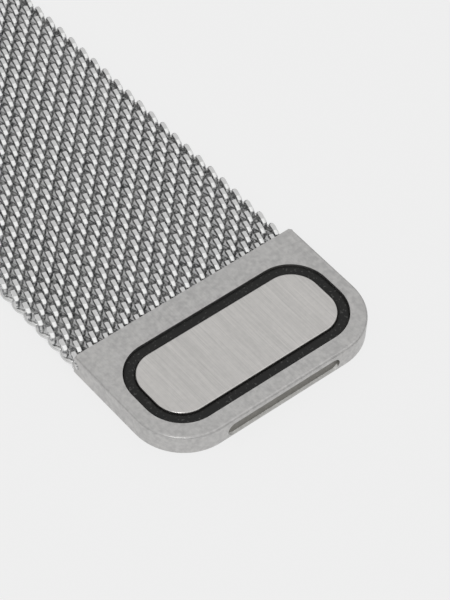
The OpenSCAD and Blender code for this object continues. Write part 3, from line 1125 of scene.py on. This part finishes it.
@dataclass
class Hardware:
    """The lug end, the keeper and the two spring bars, with the widths of their round edges."""

    lug_edge: float = 0.06
    keeper_edge: float = 0.15
    keeper_steps: int = 3
    knob_edge: float = 0.1

    def build(self) -> list[bpy.types.Object]:
        """Builds every piece and dresses the rest of the bars.

        Returns:
            The new pieces.
        """
        nodes = [
            SoftenedNode("lug_end", "lug", Slot.BRUSHED, END_STEEL, self.lug_edge),
            SoftenedNode("keeper", "keeper", Slot.BRUSHED, END_STEEL, self.keeper_edge, self.keeper_steps),
        ]
        for owner in ("lug", "keeper"):
            knob, body = f"{owner}_bar_knob", f"{owner}_plunger"
            nodes.append(SoftenedNode(knob, body, Slot.BAR, TURNED_STEEL, self.knob_edge))
            for part in ("sleeve", "fixed_tip", "plunger", "spring"):
                dress(frame["nodes"][f"{owner}_bar_{part}"], FINISHES.get(TURNED_STEEL))
        return [node.build() for node in nodes]


@dataclass(frozen=True)
class Softbox:
    """A soft rectangular lamp that looks at the tab, in metres."""

    name: str
    way: tuple[float, float, float]
    size: float
    radiance: float
    distance: float = 1.1

    def build(self) -> None:
        """Hangs the lamp."""
        data = bpy.data.lights.new(self.name, "AREA")
        data.shape = "RECTANGLE"
        data.size = data.size_y = self.size
        data.energy = self.radiance * math.pi * self.size * self.size
        lamp = bpy.data.objects.new(self.name, data)
        way = Vector(self.way).normalized()
        lamp.location = centre_of("display_plate") * MM + way * self.distance
        lamp.rotation_euler = way.to_track_quat("Z", "Y").to_euler()
        lamp.visible_camera = False
        bpy.context.scene.collection.objects.link(lamp)


@dataclass
class Studio:
    """Floor, lights and camera. The camera's values come from a fit to the photograph."""

    azimuth: float = -42.9673
    elevation: float = 49.8485
    roll: float = 4.4049
    distance: float = 218.785
    focal_px: float = 2722.3
    frame_height: int = 600
    aim: tuple[float, float, float] = (1.9455, 9.8225, 2.05)
    backdrop: tuple[float, float, float] = (0.871, 0.871, 0.871)
    shadow_share: float = 0.07
    room: float = 0.74
    horizon: float = 0.3
    full_rise: float = 0.6
    floor_reach: float = 6.0
    # The share of the floor's glow kept under the strap: painted light
    under: float = 0.3
    under_edge: tuple[float, float] = (0.7, 0.1)
    lamps: tuple[Softbox, ...] = (
        Softbox("key", (0.36, -0.05, 0.93), size=0.5, radiance=0.5),
        Softbox("fill", (-0.55, -0.52, 0.65), size=0.25, radiance=9.0),
    )

    def build(self) -> None:
        """Sets up everything round the strap."""
        self.camera()
        self.floor()
        self.world()
        for lamp in self.lamps:
            lamp.build()

    def camera(self) -> None:
        """The camera at the photograph's place."""
        a, e, r = (math.radians(x) for x in (self.azimuth, self.elevation, self.roll))
        back = Vector((math.sin(a) * math.cos(e), -math.cos(a) * math.cos(e), math.sin(e)))
        right = Vector((math.cos(a), math.sin(a), 0))
        up = back.cross(right)
        right, up = right * math.cos(r) + up * math.sin(r), up * math.cos(r) - right * math.sin(r)
        target = Vector((self.aim[0], low("tab_housing").y + self.aim[1], self.aim[2]))
        eye = (target + back * self.distance) * MM
        data = bpy.data.cameras.new("camera")
        data.sensor_width = 36.0
        data.lens = self.focal_px * data.sensor_width / self.frame_height
        data.clip_start = 0.01
        camera = bpy.data.objects.new("camera", data)
        camera.matrix_world = Matrix.Translation(eye) @ Matrix((right, up, back)).transposed().to_4x4()
        bpy.context.scene.collection.objects.link(camera)
        bpy.context.scene.camera = camera

    def floor(self) -> None:
        """A plain pale floor that keeps a light shadow."""
        bm = bmesh.new()
        bmesh.ops.create_grid(bm, x_segments=1, y_segments=1, size=self.floor_reach)
        mesh = bpy.data.meshes.new("floor")
        bm.to_mesh(mesh)
        bm.free()
        floor = bpy.data.objects.new("floor", mesh)
        bpy.context.scene.collection.objects.link(floor)
        graph = Graph("floor")
        path = graph.node("ShaderNodeLightPath")
        seen = Value(graph, path.outputs["Is Camera Ray"])
        for ray in ("Is Glossy Ray", "Is Transmission Ray"):
            seen = seen.math("MAXIMUM", Value(graph, path.outputs[ray]))
        glow = graph.node("ShaderNodeEmission", None, {"Color": (*self.backdrop, 1.0), "Strength": 1.0})
        matt = graph.node("ShaderNodeBsdfDiffuse", None, {"Color": (*self.backdrop, 1.0)})
        share = seen * (1.0 - self.shadow_share) * self.outside(graph)
        sockets = {0: share, 1: Value(graph, matt.outputs[0]), 2: Value(graph, glow.outputs[0])}
        mix = graph.node("ShaderNodeMixShader", None, sockets)
        graph.node("ShaderNodeOutputMaterial", None, {"Surface": Value(graph, mix.outputs[0])})
        mesh.materials.append(graph.material)

    def outside(self, graph: Graph) -> Value:
        """How far a place on the floor is outside the strap's own footprint at rest.

        Under the strap the floor is in deep shade, which shows through the weave and in the lower edges.
        The shade is made for the strap at rest: it runs on past the lug end and follows no pose.

        Args:
            graph: the floor's graph.

        Returns:
            Its share of light, which is 1 beside the strap.
        """
        place = graph.node("ShaderNodeSeparateXYZ", None, {0: graph.place((1.0, 1.0, 1.0))})
        radius = MagneticTab.corner_r * MM
        corner = high("tab_housing").x * MM - radius, low("tab_housing").y * MM + radius
        across = (Value(graph, place.outputs["X"]).math("ABSOLUTE") - corner[0]).math("MAXIMUM", 0.0)
        before = (corner[1] - Value(graph, place.outputs["Y"])).math("MAXIMUM", 0.0)
        reach = (across * across + before * before) ** 0.5
        dark, light = (radius - edge * MM for edge in self.under_edge)
        # Under the strap the floor keeps this share of its glow, painted light that lightens the shade there
        return reach.ramp(dark, light) * (1.0 - self.under) + self.under

    def world(self) -> None:
        """Even light from above that falls off towards the horizon."""
        world = bpy.data.worlds.new("studio")
        world.use_nodes = True
        tree = world.node_tree
        background = tree.nodes["Background"]
        background.inputs["Color"].default_value = (1.0, 1.0, 1.0, 1.0)
        way = tree.nodes.new("ShaderNodeTexCoord")
        parts = tree.nodes.new("ShaderNodeSeparateXYZ")
        rise = tree.nodes.new("ShaderNodeMapRange")
        sky = {"From Min": 0.0, "From Max": self.full_rise, "To Min": self.horizon, "To Max": self.room}
        for name, value in sky.items():
            rise.inputs[name].default_value = value
        tree.links.new(way.outputs["Generated"], parts.inputs[0])
        tree.links.new(parts.outputs["Z"], rise.inputs["Value"])
        tree.links.new(rise.outputs[0], background.inputs["Strength"])
        bpy.context.scene.world = world


def main() -> None:
    """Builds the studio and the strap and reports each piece."""
    logging.basicConfig(level=logging.INFO, format="%(name)s: %(message)s")
    bpy.context.scene.view_settings.view_transform = "Standard"
    Studio().build()
    for part in (MagneticTab, Weave, Hardware):
        for piece in part().build():
            LOG.info("%s: %d faces", piece.name, len(piece.data.polygons))


if __name__ == "__main__":
    main()
